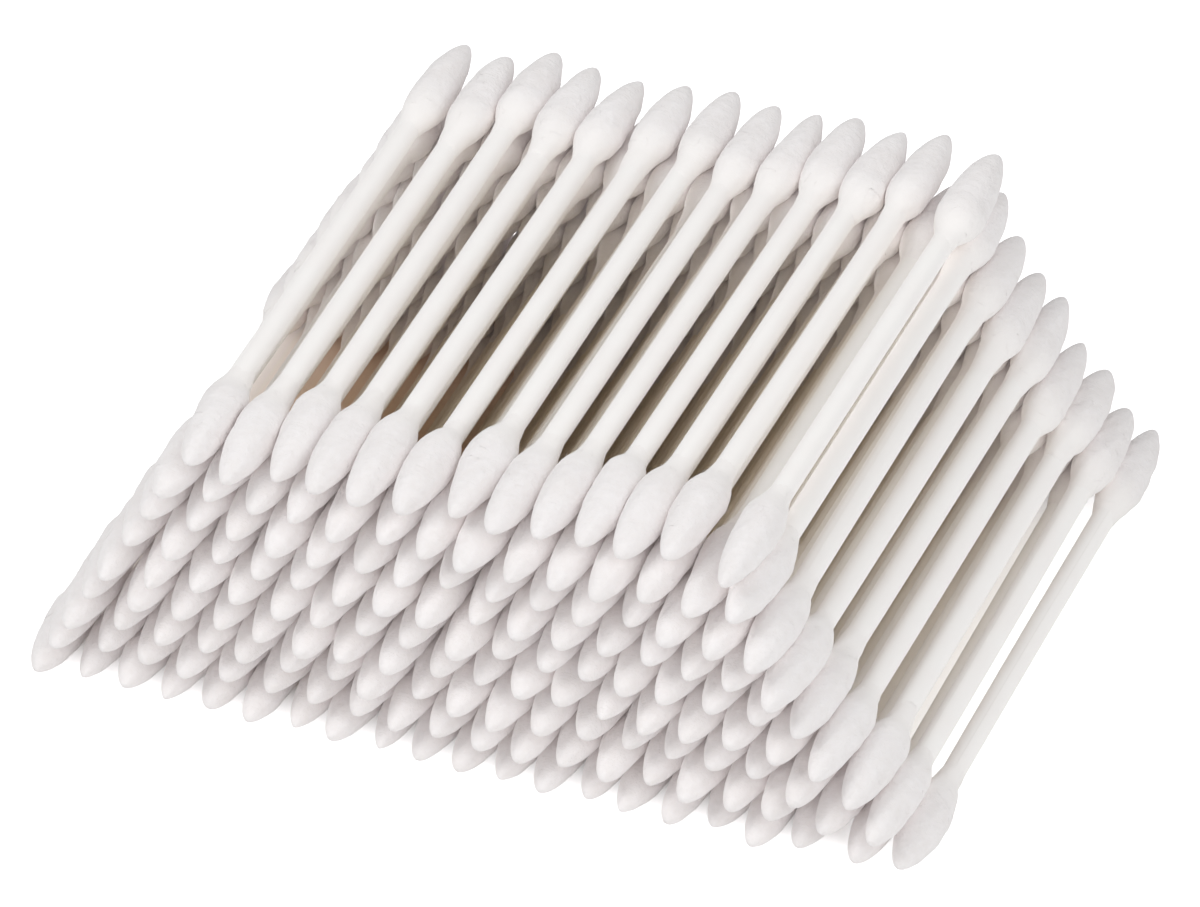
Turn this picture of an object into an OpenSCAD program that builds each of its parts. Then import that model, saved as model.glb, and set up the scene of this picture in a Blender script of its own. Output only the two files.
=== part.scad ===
// Stack of pointed cotton swabs: rolled paper sticks with a flame-shaped cotton tip wound on each end,
// laid side by side in layers that nest in one another like logs.
// X runs along a layer, Y along the swabs and Z up. The origin is on the ground, under the middle of the stack.

/* [Swab] */
// Length of a swab from point to point
swab_len = 73.5; // [68:0.5:80]
// Diameter of the rolled paper stick
stick_d = 2.5; // [2:0.1:2.8]

/* [Cotton tip] */
// Length of a tip from its point to its neck
tip_len = 13.8; // [12:0.1:16]
// Diameter of a tip at its belly, where it is fattest
tip_d = 4.6; // [4.4:0.05:5.5]
// Distance of the belly from the point
belly_at = 9; // [8:0.1:10.5]
// Sharpness of the point: a higher power gives a sharper one
point_power = 0.7; // [0.5:0.05:0.8]
// Steepness of the shoulder between belly and neck
shoulder_power = 1.7; // [1.3:0.1:2.5]
// Thickness of the cotton where it runs out on the stick
neck_film = 0.15; // [0.1:0.05:0.3]
// Cotton between the point and the end of the stick inside it
point_cotton = 3.5; // [3.3:0.1:5]
// Clearance between the stick and the cotton wound on it
wound_clearance = 0.02; // [0.01:0.01:0.04]

/* [Stack] */
// Number of layers, each with one swab fewer than the one below
layer_count = 9; // [2:1:9]
// Number of swabs in the bottom layer
bottom_count = 21; // [12:1:24]
// Clearance between tips that rest on each other
nest_clearance = 0.08; // [0.06:0.01:0.12]
// Room that each swab of the bottom layer has beside the next
bottom_room = 0.06; // [0:0.01:0.2]

/* [Unevenness] */
// Farthest that a swab lies off the middle of the two below it
roll_max = 0.4; // [0:0.05:0.5]
// Seed of the rolls
roll_seed = 172; // [1:1:500]
// Farthest that a swab has slid along itself
slide_max = 1; // [0:0.1:1.5]
// Seed of the slides
slide_seed = 494; // [1:1:500]
// How far the bottom layer stands back from the front, halved with each layer above it
set_back = 1.3; // [0:0.1:2]
// Step in which the rolls of leaning stretches are counted
lean_step = 0.1; // [0:0.01:0.12]
// Step in which the slides of the top layer are counted
slide_step = 0.5; // [0:0.1:0.7]

/* [Hidden] */
sticks = "_sticks";
front_tips = "_front_tips";
rear_tips = "_rear_tips";
function node_name(k, piece) = str("layer_", k + 1, piece);
$fn = 32;
paper = "floralwhite";
cotton = "whitesmoke";

// Layers are numbered from 0 at the bottom, swabs from 0 at the left, and the two ends of a swab are these
front = 0;
rear = 1;
bottom = 0;
top = layer_count - 1;

// Stretches of a layer that lean off their seats, as
// [layer, first swab, last swab, steps of roll at the front, steps of roll at the rear]
leaning = [
    [bottom, 19, 20, 13, 0],
    [top, 0, 2, -5, -10],
    [top, 3, 4, -10, -2],
    [top, 5, 7, 1, 2],
    [top, 8, 11, -10, -10],
    [top, 12, 12, 17, 13]
];
// Steps that each swab of the top layer, which lies in full view, has slid back
top_slides = [2, 0, 4, 2, 2, 3, 5, 3, 4, 5, 4, 6, 2];

nest = tip_d + nest_clearance;
stick_len = swab_len - 2 * point_cotton;
belly_y = swab_len / 2 - belly_at;
neck_r = stick_d / 2 + neck_film;
bore_r = stick_d / 2 + wound_clearance;
bore_end = point_cotton - wound_clearance;

// Steps of a tip's outline, which crowd together towards the round point
swell_steps = 6;
shoulder_steps = 4;
crowding = 1.5;

// Outline of a tip as [radius, distance from the point]: it swells to the belly, and its shoulder runs
// out on the stick. The bore behind is filled by the stick's end.
function swell_r(u) = tip_d / 2 * pow(1 - pow(1 - u, 2), point_power);
function shoulder_r(v) = neck_r + (tip_d / 2 - neck_r) * pow(1 - v * v, shoulder_power);
tip_outline = [
    for (i = [0:swell_steps]) let (u = pow(i / swell_steps, crowding)) [swell_r(u), u * belly_at],
    for (i = [1:shoulder_steps]) let (v = i / shoulder_steps) [shoulder_r(v), belly_at + v * (tip_len - belly_at)],
    [bore_r, tip_len],
    [bore_r, bore_end],
    [0, bore_end]
];

function count(k) = bottom_count - k;
function total(v, i = 0) = i < len(v) ? v[i] + total(v, i + 1) : 0;

// Random numbers for the swabs of layer k, from -limit to limit; each layer and each end has its own seed
layer_seeds = 10;
function scatter(limit, seed, k, end = 0) = rands(-limit, limit, count(k), seed + layer_seeds * k + end);

// Roll that the leaning stretches give to swab i of layer k at one end
function lean(k, i, end) =
    lean_step * total([for (s = leaning) if (s[0] == k && i >= s[1] && i <= s[2]) s[3 + end]]);

// Where the swabs of layer k would lie at one end: evenly on the ground, and above that each midway
// over the two below it, but for its roll
function wished(k, end, below) =
    let (roll = scatter(roll_max, roll_seed, k, end))
    [
        for (i = [0:count(k) - 1])
            let (seat = k == bottom ? i * (nest + bottom_room) : (below[i][0] + below[i + 1][0]) / 2)
            seat + roll[i] + lean(k, i, end)
    ];

// The same places laid from the left, where no swab comes closer to the one before it than two tips allow
function laid(wish, done = []) =
    let (i = len(done))
    i == len(wish) ? done : laid(wish, concat(done, [i == 0 ? wish[0] : max(wish[i], done[i - 1] + nest)]));

// Height at which a tip dropped at x comes to rest on the tips below it, or on the ground
function rest_z(x, lower) =
    max([tip_d / 2, for (p = lower) if (abs(x - p[0]) < nest) p[1] + sqrt(nest * nest - pow(x - p[0], 2))]);

// The whole stack at one end, as [x, z] of each belly, layer by layer
function pile(end, layers = []) =
    let (k = len(layers))
    k == layer_count ? layers :
    let (lower = [for (layer = layers) each layer])
    let (places = laid(wished(k, end, k == bottom ? [] : layers[k - 1])))
    pile(end, concat(layers, [[for (x = places) [x, rest_z(x, lower)]]]));
bellies = [pile(front), pile(rear)];

// Slides of the swabs along themselves, layer by layer
function slide(k, i, random) =
    k == top && i < len(top_slides) ? slide_step * top_slides[i] : random[i] + set_back / pow(2, k);
slides = [
    for (k = [bottom:top])
        let (random = scatter(slide_max, slide_seed, k))
        [for (i = [0:count(k) - 1]) slide(k, i, random)]
];

// The origin lies under the middle of the bottom layer along X, and of the slides along Y
ground_x = [for (end = bellies) for (p = end[bottom]) p[0]];
all_slides = [for (layer = slides) each layer];
middle_x = (min(ground_x) + max(ground_x)) / 2;
middle_y = (min(all_slides) + max(all_slides)) / 2;

module stick() {
    color(paper)
        rotate([90, 0, 0])
            cylinder(d = stick_d, h = stick_len, center = true);
}

module front_tip() {
    color(cotton)
        translate([0, -swab_len / 2, 0])
            rotate([-90, 0, 0])
                rotate_extrude()
                    polygon(tip_outline);
}

module rear_tip() {
    mirror([0, 1, 0])
        front_tip();
}

// Puts a piece of a swab on the line through both bellies of swab i of layer k, at its slide
module on_swab(k, i) {
    a = bellies[front][k][i];
    b = bellies[rear][k][i];
    side = b[0] - a[0];
    rise = b[1] - a[1];
    yaw = atan2(side, 2 * belly_y);
    pitch = atan2(rise, norm([side, 2 * belly_y]));
    translate([(a[0] + b[0]) / 2 - middle_x, -middle_y, (a[1] + b[1]) / 2])
        rotate([pitch, 0, -yaw])
            translate([0, slides[k][i], 0])
                children();
}

module layer_sticks(k) {
    for (i = [0:count(k) - 1])
        on_swab(k, i)
            stick();
}

module layer_front_tips(k) {
    for (i = [0:count(k) - 1])
        on_swab(k, i)
            front_tip();
}

module layer_rear_tips(k) {
    for (i = [0:count(k) - 1])
        on_swab(k, i)
            rear_tip();
}

for (k = [bottom:top]) {
    layer_sticks(k);
    layer_front_tips(k);
    layer_rear_tips(k);
}
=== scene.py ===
# %% [markdown]
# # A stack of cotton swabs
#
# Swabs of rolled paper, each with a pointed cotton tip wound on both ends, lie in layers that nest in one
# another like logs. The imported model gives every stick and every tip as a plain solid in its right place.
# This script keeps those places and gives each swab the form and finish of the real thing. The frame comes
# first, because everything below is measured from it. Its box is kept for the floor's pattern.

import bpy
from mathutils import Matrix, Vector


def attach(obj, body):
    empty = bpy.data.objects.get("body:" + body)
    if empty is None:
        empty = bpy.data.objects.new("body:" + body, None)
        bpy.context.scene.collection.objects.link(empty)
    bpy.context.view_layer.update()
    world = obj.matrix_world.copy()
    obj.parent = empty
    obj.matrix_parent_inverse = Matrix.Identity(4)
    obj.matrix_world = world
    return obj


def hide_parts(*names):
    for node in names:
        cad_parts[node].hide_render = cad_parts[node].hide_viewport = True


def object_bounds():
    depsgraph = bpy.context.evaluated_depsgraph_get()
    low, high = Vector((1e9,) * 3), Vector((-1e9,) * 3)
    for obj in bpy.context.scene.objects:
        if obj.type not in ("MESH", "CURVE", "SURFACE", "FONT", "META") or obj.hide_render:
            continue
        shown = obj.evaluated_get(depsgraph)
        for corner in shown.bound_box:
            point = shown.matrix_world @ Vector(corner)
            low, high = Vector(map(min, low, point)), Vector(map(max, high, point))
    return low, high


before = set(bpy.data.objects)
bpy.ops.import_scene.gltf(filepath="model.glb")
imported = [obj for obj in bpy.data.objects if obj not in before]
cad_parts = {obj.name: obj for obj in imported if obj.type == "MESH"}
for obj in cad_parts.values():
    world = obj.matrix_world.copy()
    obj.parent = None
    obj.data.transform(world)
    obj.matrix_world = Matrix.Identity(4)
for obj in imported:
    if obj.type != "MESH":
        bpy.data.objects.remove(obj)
cad_box = [list(corner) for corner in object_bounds()]

import math

import bpy
import numpy as np

mm = 0.001
layers = sum(name.endswith("_sticks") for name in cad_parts)
print("layers:", layers, "box in mm:", np.round(np.array(cad_box) / mm, 2).tolist())

# %% [markdown]
# ## Where each swab lies
#
# A swab could be placed by repeating the rule that the stack was laid by, but the solids already hold the
# answer. The corners of a layer's sticks lie only on their end rings, front rings at negative Y and rear
# rings at positive Y. Sorted along X, they part into rings wherever a gap is wider than a millimetre. A
# stick's axis runs between the middles of its two rings.

# %% Read the axes from the sticks
ring_gap = 1.0


def corners(name):
    """Corners of a node's mesh in millimetres, one row for each."""
    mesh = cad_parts[name].data
    flat = np.empty(3 * len(mesh.vertices), np.float32)
    mesh.vertices.foreach_get("co", flat)
    return flat.reshape(-1, 3).astype(float) / mm


def ring_middles(points):
    """Middle of each ring of points: sorted along X, they are parted wherever the next lies ring_gap on."""
    points = points[np.argsort(points[:, 0])]
    parts = np.split(points, np.flatnonzero(np.diff(points[:, 0]) > ring_gap) + 1)
    return np.array([(part.min(axis=0) + part.max(axis=0)) / 2 for part in parts])


front_ends, rear_ends, layer_of = [], [], []
for layer in range(1, layers + 1):
    points = corners(f"layer_{layer}_sticks")
    front_ends.append(ring_middles(points[points[:, 1] < 0]))
    rear_ends.append(ring_middles(points[points[:, 1] > 0]))
    layer_of += [layer] * len(front_ends[-1])
front_ends, rear_ends, layer_of = np.concatenate(front_ends), np.concatenate(rear_ends), np.array(layer_of)
swabs = len(layer_of)


def unit(vectors):
    """The vectors at length one."""
    return vectors / np.linalg.norm(vectors, axis=-1, keepdims=True)


forward = unit(front_ends - rear_ends)
ring = points[points[:, 1] < 0][:, None] - front_ends[layer_of == layers]
stick_r = float(np.linalg.norm(ring, axis=2).min(axis=1).max())
print("swabs:", swabs, "stick radius in mm:", round(stick_r, 3),
      "swabs in each layer:", np.bincount(layer_of)[1:].tolist())

# %% [markdown]
# The tips' own solids say how far a tip reaches past the end of its stick, how far back it runs, and how fat
# it is. Each corner belongs to the stick whose axis is nearest, so one table of distances gives all three.

# %% Measure the tips
def tip_reach(layer, end, ends, outward):
    """How far the tips of a layer reach past their sticks' ends and behind them, and their radius."""
    mine = layer_of == layer
    offset = corners(f"layer_{layer}_{end}_tips")[:, None] - ends[mine]
    along = np.sum(offset * outward[mine], axis=2)
    across = np.linalg.norm(offset - along[..., None] * outward[mine], axis=2)
    own = np.arange(len(offset)), across.argmin(axis=1)
    return along[own].max(), -along[own].min(), across[own].max()


point_ahead, neck_behind, cad_belly_r = tip_reach(layers, "front", front_ends, forward)
tip_length = point_ahead + neck_behind
print("a tip is", round(tip_length, 2), "mm long,", round(2 * cad_belly_r, 2), "mm thick, and reaches",
      round(point_ahead, 2), "mm past its stick")

# %% [markdown]
# ## Camera
#
# The photograph was taken with a long lens from the front right and well above, a little tilted to the left.
# The camera goes round the point that it looks at by an azimuth and an elevation, as a tripod would, and is
# then rolled about its own line of sight. A camera looks along its own -Z, with X to the right and Y up, so
# those three directions are the columns of its matrix.

# %% Place the camera
from mathutils import Matrix, Vector

look_at = Vector((-2.9, 7.2, 9.5)) * mm
camera_azimuth, camera_elevation, camera_roll = math.radians(26.3), math.radians(39.4), math.radians(-4.3)
camera_distance = 1544.5 * mm
lens_mm, sensor_mm = 442.8, 36.0

sight = Vector((-math.sin(camera_azimuth) * math.cos(camera_elevation),
                math.cos(camera_azimuth) * math.cos(camera_elevation),
                -math.sin(camera_elevation)))
level = Vector((math.cos(camera_azimuth), math.sin(camera_azimuth), 0))
upright = level.cross(sight)
right = level * math.cos(camera_roll) + upright * math.sin(camera_roll)
up = right.cross(sight)
lens = bpy.data.cameras.new("camera")
lens.lens, lens.sensor_width, lens.sensor_fit = lens_mm, sensor_mm, "HORIZONTAL"
camera = bpy.data.objects.new("camera", lens)
turned = Matrix((right, up, -sight)).transposed().to_4x4()
camera.matrix_world = Matrix.Translation(look_at - sight * camera_distance) @ turned
bpy.context.scene.collection.objects.link(camera)
bpy.context.scene.camera = camera
print("camera at", [round(x / mm) for x in camera.location], "mm")

# %% [markdown]
# ## Helpers for finishes
#
# A finish is a small tree of nodes. Colours are written as they would be picked on a screen, and Blender
# works with linear light, so one function turns them. One more adds a node: what it is given for a socket is
# either a value or the socket that feeds it.

# %% Colour and node helpers
def linear(picked):
    """A colour such as #F4F2F0 as linear RGBA: each channel c is ((c + 0.055) / 1.055) to the power 2.4."""
    channels = [int(picked[i:i + 2], 16) / 255 for i in (1, 3, 5)]
    return (*[c / 12.92 if c <= 0.04045 else ((c + 0.055) / 1.055) ** 2.4 for c in channels], 1)


def node(tree, kind, sockets=None, **settings):
    """Adds a node with its settings, and fills each named or numbered socket with a value or a link."""
    added = tree.nodes.new(kind)
    for name, value in settings.items():
        setattr(added, name, value)
    for name, value in (sockets or {}).items():
        if isinstance(value, bpy.types.NodeSocket):
            tree.links.new(value, added.inputs[name])
        else:
            added.inputs[name].default_value = value
    return added


def blank_material(name):
    """An empty material and its node tree."""
    material = bpy.data.materials.new(name)
    material.use_nodes = True
    material.node_tree.nodes.clear()
    return material, material.node_tree


# %% [markdown]
# ## Cotton
#
# Bleached cotton that is wound on a stick by a spindle. Its fibres run round the tip in thin bands that
# cross one another at a low angle, so it is a dead matt white, and a little sheen stands for the fibre ends
# that catch the light at its rim. The pattern is drawn in each tip's own millimetres, which its points carry
# as an attribute, so that the bands follow the tip wherever it lies. A cotton fibre is 0.02 mm thick, too
# fine to show, so the bands are drawn 0.2 mm wide. The fluff between them lies in soft tufts about 1 mm
# across, which break the white up into faint patches.
#
# Behind the belly the cotton thins out until the paper shows through it. A second attribute says how thin it
# is, and blends its tone into the paper's and its relief into a smoother one. Light that spreads inside the
# fluff is left out: white on white, it costs time and shows nothing.

# %% Wound cotton
band_mm, band_length_mm = 0.2, 2.4
tuft_mm, cloud_mm = 1.0, 5.0
cross_angle = math.radians(14)
band_share, relief_mm = 0.15, 0.22
neck_smoothness = 0.7
cotton_tones = linear("#F4F0EF"), linear("#F9F6F6")
paper_tones = linear("#FDFAF8"), linear("#FEFCFA")


def wound_cotton():
    """Matt white fibre: bands that cross at a low angle, tufts over them and faint clouds of tone."""
    material, tree = blank_material("bleached_cotton_wound")
    place = node(tree, "ShaderNodeAttribute", attribute_name="wound").outputs["Vector"]
    bands = []
    for angle in (-cross_angle, cross_angle):
        turned = node(tree, "ShaderNodeVectorRotate", {"Vector": place, "Angle": angle},
                      rotation_type="X_AXIS")
        drawn = node(tree, "ShaderNodeVectorMath", {0: turned.outputs[0],
                     1: (1 / band_length_mm, 1 / band_length_mm, 1 / band_mm)}, operation="MULTIPLY")
        bands.append(node(tree, "ShaderNodeTexNoise", {"Vector": drawn.outputs[0], "Scale": 1.0,
                                                       "Detail": 2.0, "Roughness": 0.6}).outputs["Fac"])
    tufts = node(tree, "ShaderNodeTexNoise", {"Vector": place, "Scale": 1 / tuft_mm, "Detail": 4.0,
                                              "Roughness": 0.6}).outputs["Fac"]
    cloud = node(tree, "ShaderNodeTexNoise", {"Vector": place, "Scale": 1 / cloud_mm, "Detail": 2.0})
    crossed = node(tree, "ShaderNodeMath", {0: bands[0], 1: bands[1]}, operation="ADD")
    relief = node(tree, "ShaderNodeMath", {0: crossed.outputs[0], 1: band_share, 2: tufts},
                  operation="MULTIPLY_ADD")
    both = node(tree, "ShaderNodeMath", {0: cloud.outputs["Fac"], 1: tufts}, operation="ADD")
    tone = node(tree, "ShaderNodeMapRange", {"Value": both.outputs[0], "From Min": 0.75, "From Max": 1.25})
    colour = node(tree, "ShaderNodeMix", {"Factor": tone.outputs[0], "A": cotton_tones[0],
                                          "B": cotton_tones[1]}, data_type="RGBA")
    thin = node(tree, "ShaderNodeAttribute", attribute_name="thin").outputs["Fac"]
    colour = node(tree, "ShaderNodeMix", {"Factor": thin, "A": colour.outputs["Result"],
                                          "B": paper_tones[0]}, data_type="RGBA")
    rough = node(tree, "ShaderNodeMath", {0: thin, 1: -neck_smoothness, 2: 1.0}, operation="MULTIPLY_ADD")
    bump = node(tree, "ShaderNodeBump", {"Height": relief.outputs[0], "Strength": rough.outputs[0],
                                         "Distance": relief_mm * mm})
    shader = node(tree, "ShaderNodeBsdfPrincipled", {
        "Base Color": colour.outputs["Result"], "Roughness": 1.0, "Specular IOR Level": 0.1,
        "Sheen Weight": 0.25, "Sheen Roughness": 0.6, "Normal": bump.outputs[0]})
    node(tree, "ShaderNodeOutputMaterial", {"Surface": shader.outputs[0]})
    return material


cotton = wound_cotton()
print("made", cotton.name, "with", len(cotton.node_tree.nodes), "nodes")

# %% [markdown]
# ## Paper
#
# The stick is white paper rolled up tight and glued, then pressed smooth. It is a shade warmer than the
# cotton and has a faint satin face. Its fibres run along the stick, because that is how the sheet was cut.
#
# Light that reaches a stick deep in the stack has gone from paper to paper dozens of times and has turned
# brown on its way, and a render stops after a few bounces. So the colour paints that light and shade in: a
# stick's points carry the number of swabs that lie between it and the open, and one swab in the paper is
# painted almost pure white, which lets more light pass, and from there a painted shade deepens it to cream.

# %% Rolled paper
fibre_mm, fibre_length_mm = 0.12, 1.6
fibre_relief_mm, fibre_strength = 0.02, 0.2
# Painted colours: almost pure white one swab in, and a cream painted shade deep in the stack.
painted_light_one_in, painted_shade_deep = linear("#FFFDFA"), linear("#FFF9EF")
deepest = 4


def rolled_paper():
    """Smooth warm white paper with fine fibres along the stick, with painted light and shade by its depth."""
    material, tree = blank_material("white_paper_rolled")
    place = node(tree, "ShaderNodeAttribute", attribute_name="wound").outputs["Vector"]
    drawn = node(tree, "ShaderNodeVectorMath", {
        0: place, 1: (1 / fibre_mm, 1 / fibre_mm, 1 / fibre_length_mm)}, operation="MULTIPLY")
    fibres = node(tree, "ShaderNodeTexNoise", {"Vector": drawn.outputs[0], "Scale": 1.0, "Detail": 3.0})
    cloud = node(tree, "ShaderNodeTexNoise", {"Vector": place, "Scale": 1 / cloud_mm, "Detail": 2.0})
    tone = node(tree, "ShaderNodeMapRange", {"Value": cloud.outputs["Fac"], "From Min": 0.35,
                                             "From Max": 0.65})
    unpainted = node(tree, "ShaderNodeMix", {"Factor": tone.outputs[0], "A": paper_tones[0],
                                         "B": paper_tones[1]}, data_type="RGBA")
    # Painted light and shade: whiter one swab into the stack, cream deeper in, for bounces the render leaves
    # out.
    painted_shade_depth = node(tree, "ShaderNodeAttribute", attribute_name="painted_shade_depth").outputs["Fac"]
    inner = node(tree, "ShaderNodeMix", {"Factor": painted_shade_depth, "A": unpainted.outputs["Result"],
                                         "B": painted_light_one_in}, data_type="RGBA")
    deep = node(tree, "ShaderNodeMapRange", {"Value": painted_shade_depth, "From Min": 1.0, "From Max": deepest})
    colour = node(tree, "ShaderNodeMix", {"Factor": deep.outputs[0], "A": inner.outputs["Result"],
                                          "B": painted_shade_deep}, data_type="RGBA")
    bump = node(tree, "ShaderNodeBump", {"Height": fibres.outputs["Fac"], "Strength": fibre_strength,
                                         "Distance": fibre_relief_mm * mm})
    shader = node(tree, "ShaderNodeBsdfPrincipled", {
        "Base Color": colour.outputs["Result"], "Roughness": 0.6, "Specular IOR Level": 0.35,
        "Normal": bump.outputs[0]})
    node(tree, "ShaderNodeOutputMaterial", {"Surface": shader.outputs[0]})
    return material


paper = rolled_paper()
print("made", paper.name, "with", len(paper.node_tree.nodes), "nodes")

# %% [markdown]
# ## From arrays to meshes
#
# Sticks, tips and loose fibres are all closed tubes: rings of points along a path, and a pole at each end.
# One function lays many tubes of the same make out as one mesh. Whole arrays go in at once, so a few hundred
# tips take no longer than one.

# %% Tubes
def tube_faces(rings, columns):
    """Faces of a tube with its poles after its rings: quads between the rings, triangles to the poles.

    The rings run away from the first pole and turn anticlockwise as seen from it, so faces point outward.
    """
    here = np.arange(rings * columns).reshape(rings, columns)
    ahead = np.roll(here, -1, axis=1)
    quads = np.stack([here[:-1], here[1:], ahead[1:], ahead[:-1]], axis=-1).reshape(-1, 4)
    first = np.full(columns, rings * columns)
    caps = np.concatenate([np.stack([first, here[0], ahead[0]], axis=-1),
                           np.stack([first + 1, ahead[-1], here[-1]], axis=-1)])
    return quads, caps


def tubes(rings, poles):
    """Points, quads and triangles of tubes. rings is (tubes, rings, columns, 3), poles (tubes, 2, 3)."""
    count, length, columns, _ = rings.shape
    points = np.concatenate([rings.reshape(count, -1, 3), poles], axis=1)
    quads, caps = tube_faces(length, columns)
    step = (np.arange(count) * points.shape[1])[:, None, None]
    return points.reshape(-1, 3), (quads + step).reshape(-1, 4), (caps + step).reshape(-1, 3)


def piece_of(name, parts, material, mark, marks):
    """One smooth mesh from sets of tubes, each given as (points in mm, pattern places, quads, triangles).

    marks holds a value for each point, which the material reads under the name mark.
    """
    points = np.concatenate([part[0] for part in parts])
    wound = np.concatenate([part[1] for part in parts])
    starts = np.cumsum([0] + [len(part[0]) for part in parts[:-1]])
    quads = np.concatenate([part[2] + start for part, start in zip(parts, starts)])
    thirds = np.concatenate([part[3] + start for part, start in zip(parts, starts)])
    loops = np.concatenate([quads.ravel(), thirds.ravel()])
    mesh = bpy.data.meshes.new(name)
    mesh.vertices.add(len(points))
    mesh.vertices.foreach_set("co", (points * mm).ravel())
    mesh.loops.add(len(loops))
    mesh.loops.foreach_set("vertex_index", loops)
    mesh.polygons.add(len(quads) + len(thirds))
    mesh.polygons.foreach_set("loop_start", np.concatenate([
        4 * np.arange(len(quads)), 4 * len(quads) + 3 * np.arange(len(thirds))]))
    mesh.attributes.new("wound", "FLOAT_VECTOR", "POINT").data.foreach_set("vector", wound.ravel())
    mesh.attributes.new(mark, "FLOAT", "POINT").data.foreach_set("value", marks.astype(float))
    mesh.update(calc_edges=True)
    mesh.shade_smooth()
    mesh.materials.append(material)
    piece = bpy.data.objects.new(name, mesh)
    bpy.context.scene.collection.objects.link(piece)
    return piece


# %% [markdown]
# ## Sticks
#
# A stick is a tight roll of paper. Seen from its end it is a spiral: its radius grows by one sheet in a turn
# and drops back at the seam, which shows as a faint ledge along the stick. The seam lies anywhere round the
# stick and drifts a little on its way, and no stick is quite straight.

# %% Shape the sticks
draw = np.random.default_rng(7)
stick_columns, stick_rings = 26, 8
sheet_mm, seam_drift, bow_mm = 0.02, 0.5, 0.08
seam_crowding = 0.92
pattern_spread = 500


def frames(outward):
    """Two directions square to each tube's outward one, so that side, upper and outward are right-handed."""
    side = unit(np.array([1.0, 0, 0]) - outward * outward[:, :1])
    return side, np.cross(outward, side)


def each(values, axes=2):
    """An array with a value for each tube, ready to be combined with arrays of that many more axes."""
    return np.asarray(values).reshape(-1, *[1] * axes)


def shaped_sticks():
    """Rings and poles of all sticks, and their pattern places.

    Radius: stick_r less one sheet at the seam, growing evenly to stick_r round the turn. Middle: the line
    from the front end to the rear end, bowed aside by a half wave. The turn less seam_crowding times its
    sine crowds the columns at the seam, so that the ledge shades only a hair's breadth of paper beside it.
    """
    side, upper = frames(forward)
    turn = np.linspace(0, 2 * np.pi, stick_columns)[None, None]
    turn = turn - seam_crowding * np.sin(turn)
    share = np.linspace(0, 1, stick_rings)[None, :, None]
    seam = each(draw.uniform(0, 2 * np.pi, swabs))
    drift = each(draw.uniform(-1, 1, swabs)) * seam_drift
    angle = turn + seam + drift * share
    radius = stick_r - sheet_mm * (1 - turn / (2 * np.pi))
    bow = each(draw.normal(0, bow_mm, swabs)) * np.sin(np.pi * share)
    bow_angle = each(draw.uniform(0, 2 * np.pi, swabs))
    across = radius * np.cos(angle) + bow * np.cos(bow_angle)
    above = radius * np.sin(angle) + bow * np.sin(bow_angle)
    rings = (front_ends[:, None, None] + (rear_ends - front_ends)[:, None, None] * share[..., None]
             + side[:, None, None] * across[..., None] + upper[:, None, None] * above[..., None])
    poles = np.stack([front_ends, rear_ends], axis=1)
    length = np.linalg.norm(rear_ends - front_ends, axis=1)
    offset = draw.uniform(0, pattern_spread, (swabs, 1, 1, 3))
    own = np.broadcast_arrays(stick_r * np.cos(turn), stick_r * np.sin(turn), each(length) * share)
    wound = np.stack(own, axis=-1) + offset
    return rings, poles, wound, wound[:, [0, -1], 0]


stick_shapes = shaped_sticks()
# Painted shade: how many swabs lie between each stick and the open, which the paper's colour follows.
from_left = np.concatenate([np.arange(count) for count in np.bincount(layer_of)[1:]])
from_right = np.concatenate([np.arange(count)[::-1] for count in np.bincount(layer_of)[1:]])
under = np.minimum(np.minimum(from_left, from_right), layers - layer_of)
painted_shade_depth = np.minimum(under, deepest)
print("sticks:", stick_shapes[0].shape[:3], "in the open:", int((under == 0).sum()))

# %% [markdown]
# ## Tips
#
# A tip swells from a blunt point to a belly at two thirds of its length, and its shoulder runs out on the
# stick. No two are alike: each has its own thickness, its belly sits a little to one side, and the wound
# bands stand up as soft ledges. A lathe gives the first, and the rest is added to its radius as waves round
# and along the tip. Waves with a whole number of crests round the tip close without a seam.

# %% Size of each tip
ends = 2 * swabs
root = np.concatenate([front_ends, rear_ends])
outward = np.concatenate([forward, -forward])
side, upper = frames(outward)
point_at = root + outward * point_ahead
end_layer = np.concatenate([layer_of, layer_of])
is_front = np.arange(ends) < swabs

belly_at = draw.uniform(8.6, 10.0, ends)
form = {
    "belly_at": belly_at,
    "length": belly_at + draw.uniform(3.6, 4.8, ends),
    "collar": draw.uniform(0.05, 0.3, ends),
    "collar_end": tip_length + draw.uniform(1.4, 4.0, ends),
    "belly_r": cad_belly_r + draw.uniform(-0.03, 0.24, ends),
    "point_power": draw.uniform(0.51, 0.67, ends),
    "shoulder_power": draw.uniform(0.85, 1.5, ends),
}
form = {name: each(values) for name, values in form.items()}
dip_mm = 0.16


def profile(s, who=slice(None)):
    """Radius of the lathed tip s mm behind its point.

    Ahead of the belly: belly_r times (1 - (1 - s / belly_at)^2) to point_power. Behind it, with v from 0 at
    the belly to 1 at the neck: the stick and its collar, plus the rest of belly_r times (1 - v^2) to
    shoulder_power. The collar thins out evenly from the neck to collar_end, where it dips under the paper.
    """
    own = {name: values[who] for name, values in form.items()}
    ahead = np.clip(s / own["belly_at"], 0, 1)
    swell = own["belly_r"] * (1 - (1 - ahead) ** 2) ** own["point_power"]
    v = np.clip((s - own["belly_at"]) / (own["length"] - own["belly_at"]), 0, 1)
    thinned = np.clip((s - own["length"]) / (own["collar_end"] - own["length"]), 0, 1)
    neck_r = stick_r + own["collar"] * (1 - thinned) - dip_mm * thinned
    top_r = own["belly_r"] - stick_r - own["collar"]
    shoulder = neck_r + top_r * (1 - v * v) ** own["shoulder_power"]
    return np.where(s < own["belly_at"], swell, shoulder)


print("bellies in mm:", np.round(2 * form["belly_r"].min(), 2), "to", np.round(2 * form["belly_r"].max(), 2))

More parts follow.
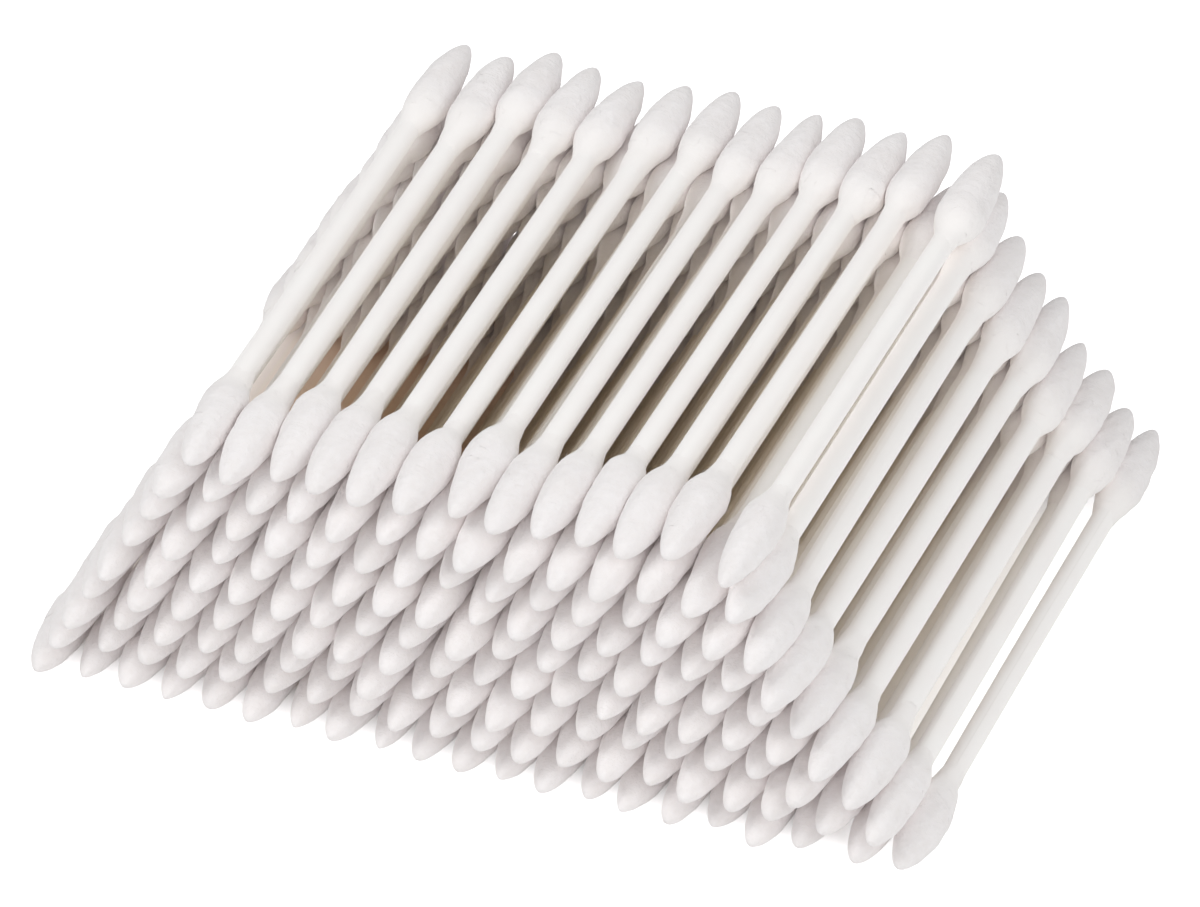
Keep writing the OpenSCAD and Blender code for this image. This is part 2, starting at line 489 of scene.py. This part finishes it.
# %% [markdown]
# The unevenness is a handful of waves. The first have one crest, so they set the belly to one side. The ones
# with two to nine crests dent the tip as fingers and neighbours do, and swing round it on their way along.
# Two more run round and along the tip at once, which draws the wound bands as ledges, steep on one side and
# easy on the other. Each tip's point leans a little, and many tips have a lump on one side of the shoulder,
# where the winding ended.

# %% Unevenness of each tip
crests = np.array([1, 1, 2, 2, 3, 4, 5, 7, 6, 9])
swings = np.array([0.3, 1.1, 0.5, 1.4, 0.8, 1.6, 2.1, 3.4, 5.2, 4.3])
heights_mm = np.array([0.09, 0.05, 0.05, 0.04, 0.035, 0.025, 0.025, 0.018, 0.018, 0.012])
wave_height = draw.normal(0, 1, (len(crests), ends)) * heights_mm[:, None]
wave_start = draw.uniform(0, 2 * np.pi, (len(crests), ends))
fade_power, ledges_at_point = 0.7, 0.35
lump_crest, lump_narrowness, lean_power = 0.8, 1.5, 1.5
band_height = draw.uniform(0.01, 0.045, ends)
band_pitch = draw.uniform(2.6, 4.6, ends)
band_start = draw.uniform(0, 2 * np.pi, ends)
lump_mm = draw.uniform(0.0, 0.3, ends)
lump_turn = draw.uniform(0, 2 * np.pi, ends)
lean_mm = draw.normal(0, 0.22, ends)
lean_angle = draw.uniform(0, 2 * np.pi, ends)


def unevenness(s, turn):
    """What is added to a tip's radius: waves round and along it, which fade out at the point and the neck.

    A lump on one side starts at the belly, stands highest on the shoulder and runs out at collar_end.
    """
    share = np.clip(s / form["collar_end"], 0, 1)
    fade = np.sin(np.pi * share) ** fade_power
    behind_belly = np.clip((s - form["belly_at"]) / (form["collar_end"] - form["belly_at"]), 0, 1)
    lump_side = (0.5 + 0.5 * np.cos(turn + each(lump_turn))) ** lump_narrowness
    lump = each(lump_mm) * np.sin(np.pi * behind_belly ** lump_crest) * lump_side
    waves = sum(each(height) * np.cos(crest * turn + 2 * np.pi * swing * share + each(start))
                for crest, swing, height, start in zip(crests, swings, wave_height, wave_start))
    band = turn + 2 * np.pi * s / each(band_pitch) + each(band_start)
    ledges = each(band_height) * (np.sin(band) + np.sin(2 * band) / 2)
    return fade * (waves + ledges * (ledges_at_point + share)) + lump


# %% [markdown]
# Tips touch, and cotton gives. Where two tips would run into each other, both are pressed flat on the plane
# through the meeting line of their two circles. For circles of radius r and q whose middles are d apart,
# that plane lies d / 2 + (r^2 - q^2) / 2d from the first. The ground presses the lowest tips the same way.
# Only the six nearest tips can touch, so the loop below has six turns, and each works on all tips at once.

# %% Press the tips together
neighbours = 6
belly_middle = point_at - outward * tip_length * 2 / 3
spread = np.linalg.norm(belly_middle[:, None] - belly_middle, axis=2)
np.fill_diagonal(spread, np.inf)
nearest = np.argsort(spread, axis=1)[:, :neighbours]


def skin(s, turn, lift=0.0):
    """Points s mm behind each tip's point and turned by turn round it, lift mm above the cotton."""
    share = np.clip(s / form["collar_end"], 0, 1)
    middle = point_at[:, None, None] - outward[:, None, None] * s[..., None]
    lean = each(lean_mm) * (1 - share) ** lean_power
    radius = profile(s) + unevenness(s, turn) + lift
    across = radius * np.cos(turn) + lean * np.cos(each(lean_angle))
    above = radius * np.sin(turn) + lean * np.sin(each(lean_angle))
    places = middle + side[:, None, None] * across[..., None] + upper[:, None, None] * above[..., None]
    for other in nearest.T:
        behind = -np.sum((middle - point_at[other][:, None, None]) * outward[other][:, None, None], axis=-1)
        foot = point_at[other][:, None, None] - outward[other][:, None, None] * behind[..., None]
        apart = np.linalg.norm(foot - middle, axis=-1)
        towards = (foot - middle) / apart[..., None]
        reach = np.maximum(profile(behind, other), stick_r) * (behind > 0)
        plane = apart / 2 + (profile(s) ** 2 - reach ** 2) / (2 * apart)
        over = np.clip(np.sum((places - middle) * towards, axis=-1) - plane, 0, None)
        places = places - over[..., None] * towards
    places[..., 2] = np.maximum(places[..., 2], 0)
    return places


print("tips that may touch each tip:", nearest.shape[1])

# %% [markdown]
# The skin is read off on a grid of rings, which crowd together towards the point, because that is where a
# tip bends most. The last ring is ragged, as torn cotton is, and one more is tucked into the paper behind it.

# %% Lay the rings of the tips
tip_columns, tip_rings = 40, 30
point_crowding, tuck = 1.35, 0.8
ragged_mm, ragged_from = (0.25, 0.15), 6
turn = (2 * np.pi * np.arange(tip_columns) / tip_columns)[None, None]
share = ((1 + np.arange(tip_rings)) / tip_rings)[None, :, None] ** point_crowding
ragged = (ragged_mm[0] * np.cos(2 * turn + each(wave_start[0]))
          + ragged_mm[1] * np.cos(3 * turn + each(wave_start[1])))
behind = share * form["collar_end"] + ragged * share ** ragged_from
rings = skin(behind, turn)
neck_middle = (point_at - outward * form["collar_end"][:, 0])[:, None]
tucked = neck_middle[:, None] + (rings[:, -1:] - neck_middle[:, None]) * tuck
rings = np.concatenate([rings, tucked], axis=1)
lean_side = side * np.cos(lean_angle)[:, None] + upper * np.sin(lean_angle)[:, None]
poles = np.concatenate([(point_at + lean_side * lean_mm[:, None])[:, None], neck_middle], axis=1)
tip_offset = draw.uniform(0, pattern_spread, (ends, 3))


def pattern_places(points):
    """The points in each tip's own millimetres: across, above and behind, moved on by a step of its own."""
    shape = [ends] + [1] * (points.ndim - 2) + [3]
    offset = points - point_at.reshape(shape)
    own = [np.sum(offset * axis.reshape(shape), axis=-1) for axis in (side, upper, outward)]
    return np.stack(own, axis=-1) + tip_offset.reshape(shape)


def thinness(points, mine):
    """How thin some tips' cotton is at each point: 0 up to the belly, 1 from the neck on."""
    offset = points.reshape(mine.sum(), -1, 3) - point_at[mine][:, None]
    behind = -np.sum(offset * outward[mine][:, None], axis=-1)
    start, stop = form["belly_at"][mine][:, :, 0], form["length"][mine][:, :, 0]
    return np.clip((behind - start) / (stop - start), 0, 1).ravel()


print("tips:", rings.shape[:3])

# %% [markdown]
# ## Loose fibres
#
# A few fibres have worked loose on every tip, most of them at the shoulder, where the winding ends. Each is
# a thin closed tube: it starts just under the surface, runs some way along the tip and round it, and lifts
# off as it goes. Hair curves would be lost in the mesh that comes out, and a real fibre is too thin to show,
# so these are 0.03 mm thick.

# %% Lay the loose fibres
fibres, fibre_rings, fibre_sides = 14, 5, 3
fibre_r = 0.016
root_spread, root_crowding = 0.8, 1.6
run_mm, from_point_mm, past_neck_mm = (-1.4, 1.1), 0.4, 0.8
round_drift, curl = 0.5, 0.25
lift_mm, lift_power, root_depth_mm = (0.03, 0.3), 1.5, 0.01
each_fibre = ends, fibres, 1
along = np.linspace(0, 1, fibre_rings)[None, None]
root_share = 1 - root_spread * draw.random(each_fibre) ** root_crowding
fibre_s = root_share * form["length"] + draw.uniform(*run_mm, each_fibre) * along
fibre_s = np.clip(fibre_s, from_point_mm, form["length"] + past_neck_mm)
fibre_turn = draw.uniform(0, 2 * np.pi, each_fibre) + draw.normal(0, round_drift, each_fibre) * along
fibre_turn = fibre_turn + draw.normal(0, curl, each_fibre) * np.sin(np.pi * along)
fibre_lift = draw.uniform(*lift_mm, each_fibre) * along ** lift_power - root_depth_mm
path = skin(fibre_s, fibre_turn, fibre_lift)
path_way = unit(np.gradient(path, axis=2))
slanted = np.array([0.2, 0.1, 1.0])
path_side = unit(np.cross(path_way, slanted))
path_upper = np.cross(path_side, path_way)
fibre_angle = 2 * np.pi * np.arange(fibre_sides) / fibre_sides
hair = (path[..., None, :] + fibre_r * (path_side[..., None, :] * np.cos(fibre_angle)[:, None]
                                        + path_upper[..., None, :] * np.sin(fibre_angle)[:, None]))
print("fibres:", hair.shape[:2])

# %% [markdown]
# ## Dress the frame
#
# Each node of the frame gets one piece: a layer's sticks, its front tips or its rear tips. The piece takes
# the place of the node, whose solid is hidden, moves with the stack and is given its finish directly. The
# tips are soft stuffing that is wound tight.

# %% Make the pieces
for layer in range(1, layers + 1):
    mine = layer_of == layer
    stick_rings_mm, stick_poles, stick_wound, pole_wound = [array[mine] for array in stick_shapes]
    points, quads, thirds = tubes(stick_rings_mm, stick_poles)
    places = tubes(stick_wound, pole_wound)[0]
    # Each point carries its stick's depth, for the paper's painted light and shade.
    depth = np.repeat(painted_shade_depth[mine], len(points) // mine.sum())
    sticks = piece_of(f"paper_sticks_{layer}", [(points, places, quads, thirds)], paper, "painted_shade_depth", depth)
    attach(sticks, "root")
    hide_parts(f"layer_{layer}_sticks")
    for end, here in (("front", is_front), ("rear", ~is_front)):
        mine = here & (end_layer == layer)
        cotton_parts = tubes(rings[mine], poles[mine])
        cotton_places = tubes(pattern_places(rings)[mine], pattern_places(poles)[mine])[0]
        hair_rings = hair[mine].reshape(-1, fibre_rings, fibre_sides, 3)
        hair_poles = path[mine][:, :, [0, -1]].reshape(-1, 2, 3)
        hair_parts = tubes(hair_rings, hair_poles)
        tips = piece_of(f"cotton_tips_{end}_{layer}", [
            (cotton_parts[0], cotton_places, *cotton_parts[1:]),
            (hair_parts[0], hair_parts[0], *hair_parts[1:])], cotton, "thin",
            np.concatenate([thinness(cotton_parts[0], mine), np.zeros(len(hair_parts[0]))]))
        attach(tips, "root")
        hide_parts(f"layer_{layer}_{end}_tips")

# %% [markdown]
# ## Floor, lamps and world
#
# The stack lies on a plain white floor. The floor adds a little white of its own, for the camera and for
# reflections only, so it is pure white where nothing shades it and keeps the stack's soft shadow. What it
# adds falls off to nothing under the stack, where the gaps between the sticks let the floor show, and there
# its colour is painted a little warmer, a painted warm shade, as light that bounces between the sticks would
# give. The camera looks in from the front right, so through the gaps it sees floor that lies to the left and
# to the back, and the bare place is moved that way by a share of the stack.

# %% Floor
floor_half = 1.5
floor_glow = 0.76
glow_shares, colour_shares = (0.8, 0.96), (0.7, 0.9)
# A painted warm shade for the floor under the stack, and the plain white of the open floor.
painted_shade_under_stack, in_the_open = linear("#FCEDDF"), linear("#F8F8F8")
mask_shift = (0.1, -0.1, 0)
stack_half_x, stack_half_y = cad_box[1][0], cad_box[1][1]


def seen_directly(tree):
    """1 for a ray that shows the surface to the camera, straight, mirrored or through glass, 0 for light."""
    ray = node(tree, "ShaderNodeLightPath").outputs
    seen = ray["Is Camera Ray"]
    for kind in ("Is Glossy Ray", "Is Transmission Ray"):
        seen = node(tree, "ShaderNodeMath", {0: seen, 1: ray[kind]}, operation="MAXIMUM").outputs[0]
    return seen


def plain_floor():
    """A white floor. Diffuse light gives it the shadow, and seen directly it adds white.

    The mask is the greater of two shares, how far a place lies from the middle along X and along Y. The
    glow rises to floor_glow between its two shares, and the colour turns from a painted warm shade to plain
    between its own.
    """
    material, tree = blank_material("white_floor")
    place = node(tree, "ShaderNodeTexCoord").outputs["Object"]
    shares = node(tree, "ShaderNodeVectorMath", {0: place, 1: (1 / stack_half_x, 1 / stack_half_y, 0),
                                                 2: mask_shift}, operation="MULTIPLY_ADD")
    sizes = node(tree, "ShaderNodeVectorMath", {0: shares.outputs[0]}, operation="ABSOLUTE")
    sizes = node(tree, "ShaderNodeSeparateXYZ", {0: sizes.outputs[0]}).outputs
    away = node(tree, "ShaderNodeMath", {0: sizes["X"], 1: sizes["Y"]}, operation="MAXIMUM").outputs[0]
    clear = node(tree, "ShaderNodeMapRange", {"Value": away, "From Min": glow_shares[0],
                                              "From Max": glow_shares[1], "To Max": floor_glow})
    added = node(tree, "ShaderNodeMath", {0: seen_directly(tree), 1: clear.outputs[0]}, operation="MULTIPLY")
    open_share = node(tree, "ShaderNodeMapRange", {"Value": away, "From Min": colour_shares[0],
                                                   "From Max": colour_shares[1]})
    colour = node(tree, "ShaderNodeMix", {"Factor": open_share.outputs[0], "A": painted_shade_under_stack,
                                          "B": in_the_open}, data_type="RGBA")
    matt = node(tree, "ShaderNodeBsdfDiffuse", {"Color": colour.outputs["Result"]})
    glow = node(tree, "ShaderNodeEmission", {"Strength": added.outputs[0]})
    both = node(tree, "ShaderNodeAddShader", {0: matt.outputs[0], 1: glow.outputs[0]})
    node(tree, "ShaderNodeOutputMaterial", {"Surface": both.outputs[0]})
    return material


corners_m = [(-floor_half, -floor_half, 0), (floor_half, -floor_half, 0),
             (floor_half, floor_half, 0), (-floor_half, floor_half, 0)]
floor_mesh = bpy.data.meshes.new("floor")
floor_mesh.from_pydata(corners_m, [], [(0, 1, 2, 3)])
floor_mesh.materials.append(plain_floor())
floor = bpy.data.objects.new("floor", floor_mesh)
bpy.context.scene.collection.objects.link(floor)
print("floor:", 2 * floor_half, "m wide, glow", floor_glow)

# %% [markdown]
# Soft studio light: a key lamp from the upper left and a lower, wider one from the right, set so that white
# cotton renders just under white. A lamp's watts are worked out from what it should add: a white face that
# looks straight at the lamp gets the share of full white named here. White things pass light on to each
# other many times, and the usual four bounces would leave the gaps black.

# %% Lamps
def soft_lamp(name, share, azimuth, elevation, distance, size):
    """A square lamp, in metres and degrees, aimed at the stack: share times (pi times distance)^2 watts."""
    light = bpy.data.lights.new(name, "AREA")
    light.energy, light.size = share * (math.pi * distance) ** 2, size
    lamp = bpy.data.objects.new(name, light)
    a, e = math.radians(azimuth), math.radians(elevation)
    away = Vector((math.sin(a) * math.cos(e), -math.cos(a) * math.cos(e), math.sin(e)))
    lamp.location = look_at + away * distance
    lamp.rotation_euler = away.to_track_quat("Z", "Y").to_euler()
    bpy.context.scene.collection.objects.link(lamp)


light_bounces = 12
soft_lamp("key", share=0.34, azimuth=-48, elevation=54, distance=0.9, size=0.45)
soft_lamp("fill", share=0.30, azimuth=62, elevation=38, distance=0.9, size=0.6)
bpy.context.scene.cycles.max_bounces = light_bounces
bpy.context.scene.cycles.diffuse_bounces = light_bounces
print("lamps in watts:", {light.name: round(light.energy, 1) for light in bpy.data.lights})

# %% [markdown]
# A white world round everything fills in what the lamps leave, as the walls of a studio do. It lights the
# stack at half strength, and where it is seen directly it is plain white.

# %% World
world = bpy.data.worlds.new("studio")
bpy.context.scene.world = world
world.use_nodes = True
sky = world.node_tree
sky.nodes.clear()
world_level = 0.48
ambient = node(sky, "ShaderNodeBackground", {"Color": linear("#FFFFFF"), "Strength": world_level})
backdrop = node(sky, "ShaderNodeBackground", {"Color": linear("#FFFFFF"), "Strength": 1.0})
mixed = node(sky, "ShaderNodeMixShader", {0: seen_directly(sky), 1: ambient.outputs[0],
                                          2: backdrop.outputs[0]})
node(sky, "ShaderNodeOutputWorld", {"Surface": mixed.outputs[0]})
bpy.context.scene.view_settings.view_transform = "Standard"
print("world at", world_level)
